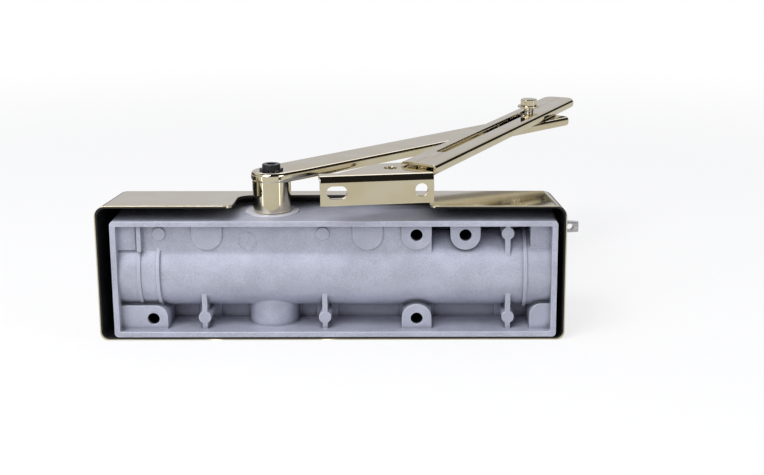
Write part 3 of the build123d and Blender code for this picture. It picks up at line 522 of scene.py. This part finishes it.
def dialMarks():
    # The marks stand round the dial, each a copy of the first with its own mesh
    width = mouldDial["line"] * mouldDial["markWidth"]
    first = castBar("dialMark", mouldDial["radius"] * mouldDial["markLength"], width, width)
    out = mouldDial["radius"] * mouldDial["markRing"]
    marks = []
    for k in range(mouldDial["marks"]):
        angle = 2 * math.pi * k / mouldDial["marks"]
        mark = first.copy()
        mark.data = first.data.copy()
        bpy.context.scene.collection.objects.link(mark)
        moved = Matrix.Translation((out * math.cos(angle), 0, out * math.sin(angle)))
        mark.matrix_world = moved @ Matrix.Rotation(-angle, 4, "Y")
        marks.append(mark)
    bpy.data.objects.remove(first)
    return marks


def dialPointer():
    line = mouldDial["line"]
    pointer = castBar(
        "dialPointer", mouldDial["pointerLength"],
        line * mouldDial["pointerWidth"], line * mouldDial["pointerHeight"],
    )
    pointer.rotation_euler = (0, mouldDial["pointerTurn"], 0)
    return pointer


nothingSelected()
bpy.ops.mesh.primitive_torus_add(
    major_radius=mouldDial["radius"], minor_radius=mouldDial["line"], major_segments=64, minor_segments=8,
    rotation=(math.radians(90), 0, 0),
)
dialRing = bpy.context.object
placeIntoMesh()
dialParts = [dialRing] + dialMarks() + [dialPointer()]
nothingSelected()
for part in dialParts:
    part.select_set(True)
bpy.context.view_layer.objects.active = dialRing
bpy.ops.object.join()
dialRing.name = "mouldDial"
dialRing.location = mouldDial["place"]
placeIntoMesh()
bpy.ops.object.shade_smooth_by_angle(angle=smoothBelow)
dialRing.data.materials.append(finishes["casting_paint"])
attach(dialRing, "closer_body")
print("mould dial raised")

# Corner pad: the casting's raised pad in the upper left corner, between the wall, the rib and the collar
cornerPad = {
    "low": (-0.0850, -0.0010, 0.0364), "high": (-0.0745, 0.0024, 0.0508),
    "draft": 0.95, "edge": 0.0006, "rearward": -0.9,
}
padLow, padHigh = Vector(cornerPad["low"]), Vector(cornerPad["high"])
pad = rawBlock("cornerPad", padHigh - padLow)
bpy.ops.object.mode_set(mode="EDIT")
bpy.ops.mesh.select_all(action="DESELECT")
bpy.ops.object.mode_set(mode="OBJECT")
for face in pad.data.polygons:
    face.select = face.normal.y < cornerPad["rearward"]
bpy.ops.object.mode_set(mode="EDIT")
bpy.ops.transform.resize(value=(cornerPad["draft"], 1, cornerPad["draft"]))
bpy.ops.object.mode_set(mode="OBJECT")
softened(pad, cornerPad["edge"], segments=3)
pad.location = (padLow + padHigh) / 2
placeIntoMesh()
bpy.ops.object.shade_smooth_by_angle(angle=smoothBelow)
pad.data.materials.append(finishes["casting_paint"])
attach(pad, "closer_body")
print("corner pad raised")

# Stage: a pale floor under the cover's lower edge
floorLook = {
    "size": 6.0, "pale": (0.86, 0.86, 0.86, 1), "speck": (0.84, 0.84, 0.84, 1), "tooth": 300.0,
    "speckFrom": 0.3, "speckTo": 0.7, "roughness": 0.9,
    "white": 0.72, "whiteFrom": 0.45, "whiteTo": 1.1, "gloss": 0.92,
    "sheet": (0.57, 0.555, 0.50, 1), "strip": (1.9, 1.88, 1.75, 1),
    "behind": (0.20, 0.19, 0.17, 1), "left": (0.03, 0.028, 0.024, 1),
    "stripFrom": 0.84, "stripTo": 0.96, "stripEdge": 0.03,
    "behindFrom": 2.55, "behindTo": 2.75, "behindNear": 0.30, "behindFar": 0.34,
    "leftEdge": 0.05, "leftNear": 0.40, "leftFar": 0.46, "leftX": (-0.15, -0.08), "leftY": (0.044, 0.060),
}


def distance(x, y):
    return (x * x + y * y).math("SQRT")


def floorGlow(paper, x, y):
    # What polished metal sees in the floor, by the angle and distance from the spindle: a darker sheet, two
    # bright strips that run out from under it, a dim stretch far behind and a dark patch behind on the left
    collarLow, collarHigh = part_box("spindle_collar")
    fromHubX = x - (collarLow.x + collarHigh.x) / 2
    fromHubY = y - (collarLow.y + collarHigh.y) / 2
    away = distance(fromHubX, fromHubY)
    turned = fromHubX.math("ARCTAN2", -1 * fromHubY)
    swing = turned.absolute()
    first, last, edge = floorLook["stripFrom"], floorLook["stripTo"], floorLook["stripEdge"]
    strip = swing.between(first, first + edge) * (1 - swing.between(last - edge, last))
    behind = swing.between(floorLook["behindFrom"], floorLook["behindTo"])
    behind = behind * away.between(floorLook["behindNear"], floorLook["behindFar"])
    left = (-1 * turned).between(last, last + floorLook["leftEdge"])
    left = left * (1 - away.between(floorLook["leftNear"], floorLook["leftFar"]))
    left = left * (1 - x.between(*floorLook["leftX"])) * y.between(*floorLook["leftY"])
    colour = paper.mix(behind, floorLook["sheet"], floorLook["behind"])
    colour = paper.mix(left, colour, floorLook["left"])
    return paper.mix(strip, colour, floorLook["strip"])


def floorFinish():
    # Matt and pale, with a white glow to the camera that is full far away
    paper = Finish("paleFloor")
    speck = paper.noise(floorLook["tooth"], 2.0).between(floorLook["speckFrom"], floorLook["speckTo"])
    paper.set(Base_Color=paper.mix(speck, floorLook["pale"], floorLook["speck"]))
    paper.set(Roughness=floorLook["roughness"], Specular_IOR_Level=0.0)
    x, y, _ = paper.axes(paper.place)
    toCamera, toGloss = paper.rayKinds()
    farOff = distance(x, y).between(floorLook["whiteFrom"], floorLook["whiteTo"])
    whiteShare = floorLook["white"] + farOff * (1 - floorLook["white"])
    white = paper.add("ShaderNodeEmission", None, {"Color": (1, 1, 1, 1), "Strength": 1.0})
    glow = paper.add("ShaderNodeEmission", None, {"Color": floorGlow(paper, x, y), "Strength": 1.0})
    matt = Wire(paper, paper.shader.outputs[0])
    seen = paper.add("ShaderNodeMixShader", None, {0: toCamera * whiteShare, 1: matt, 2: white})
    seen = paper.add("ShaderNodeMixShader", None, {0: toGloss * floorLook["gloss"], 1: seen, 2: glow})
    paper.put(paper.tree.nodes["Material Output"].inputs["Surface"], seen)
    return paper.material


nothingSelected()
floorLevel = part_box("cover")[0].z
bpy.ops.mesh.primitive_plane_add(size=floorLook["size"], location=(0, 0, floorLevel))
floor = bpy.context.object
floor.name = "floor"
floor.data.materials.append(floorFinish())

# World: white to the camera, even and soft to matt surfaces, and a room to polished ones
room = {
    "white": (1, 1, 1, 1), "soft": (0.58, 0.59, 0.64, 1), "sheet": (0.565, 0.56, 0.585, 1),
    "bright": (1.5, 1.5, 1.55, 1), "dark": (0.014, 0.013, 0.012, 1), "card": (0.62, 0.60, 0.55, 1),
    "sheetSide": (0.56, 0.66), "sheetTop": (0.82, 0.86), "brightFrom": (0.50, 0.62),
    "leftCardSide": (0.50, 0.60), "leftCardFoot": (0.34, 0.40), "leftCardTop": (0.80, 0.86),
    "lowCardSide": (-0.15, -0.05), "lowCardTop": (0.20, 0.26),
}


def paintAir(world):
    # The room has a pale sheet straight behind, bright above it, a pale card on the left and a low one in
    # front, and is dark between. Each pair says where a change begins and ends
    air = Recipe(world.node_tree)
    x, y, z = air.axes(air.add("ShaderNodeTexCoord", out="Generated"))
    swing = x.math("ARCTAN2", y).absolute()
    straight = (1 - swing.between(*room["sheetSide"])) * (1 - z.between(*room["sheetTop"]))
    behind = air.mix(z.between(*room["brightFrom"]), room["sheet"], room["bright"])
    leftCard = (-1 * x).between(*room["leftCardSide"]) * z.between(*room["leftCardFoot"])
    leftCard = leftCard * (1 - z.between(*room["leftCardTop"]))
    lowCard = (-1 * y).between(*room["lowCardSide"]) * (1 - z.between(*room["lowCardTop"]))
    around = air.mix(leftCard.math("MAXIMUM", lowCard), room["dark"], room["card"])
    studio = air.mix(straight, around, behind)
    toCamera, toGloss = air.rayKinds()
    seen = air.mix(toCamera, air.mix(toGloss, room["soft"], studio), room["white"])
    background = world.node_tree.nodes["Background"]
    background.inputs["Strength"].default_value = 1.0
    air.put(background.inputs["Color"], seen)


world = bpy.data.worlds.new("studio")
bpy.context.scene.world = world
world.use_nodes = True
paintAir(world)

# Lamps: a wide soft one above, a lower one from the front left and a weak one from the right
lamps = {
    "above": {"place": (-0.32, -0.50, 1.05), "aim": (0.03, 0.02, 0.02), "size": (0.60, 0.45), "power": 7.0},
    "frontLeft": {"place": (-0.75, -1.25, 0.85), "aim": (0.02, 0.0, 0.03), "size": (0.9, 0.7), "power": 8.0},
    "right": {"place": (1.30, -0.70, 0.60), "aim": (0.08, 0.0, 0.03), "size": (0.6, 0.6), "power": 3.5},
}
for name, lamp in lamps.items():
    light = bpy.data.lights.new(name, "AREA")
    light.shape = "RECTANGLE"
    light.size, light.size_y = lamp["size"]
    light.energy = lamp["power"]
    holder = bpy.data.objects.new(name, light)
    bpy.context.scene.collection.objects.link(holder)
    holder.location = lamp["place"]
    aim = Vector(lamp["aim"]) - Vector(lamp["place"])
    holder.rotation_euler = aim.to_track_quat("-Z", "Y").to_euler()

# Camera: the photograph's own view. Its optical axis meets the picture at the pixel "axis"
photoSize = (764, 475)
view = {
    "place": (0.0656, -0.7179, 0.2292), "down": 14.5, "turn": 0.46, "roll": 0.04,
    "lens": 68.75, "sensor": 36.0, "axis": (423.8, 236.7), "reach": 20.0,
}
lens = bpy.data.cameras.new("camera")
lens.sensor_width = view["sensor"]
lens.lens = view["lens"]
lens.shift_x = (photoSize[0] / 2 - view["axis"][0]) / photoSize[0]
lens.shift_y = (view["axis"][1] - photoSize[1] / 2) / photoSize[0]
lens.clip_end = view["reach"]
eye = bpy.data.objects.new("camera", lens)
bpy.context.scene.collection.objects.link(eye)
turn = Matrix.Rotation(math.radians(-view["turn"]), 4, "Z")
tilt = Matrix.Rotation(math.radians(90 - view["down"]), 4, "X")
roll = Matrix.Rotation(math.radians(view["roll"]), 4, "Z")
eye.matrix_world = Matrix.Translation(view["place"]) @ turn @ tilt @ roll
bpy.context.scene.camera = eye
bpy.context.scene.view_settings.view_transform = "Standard"
print("stage, lamps and camera set")
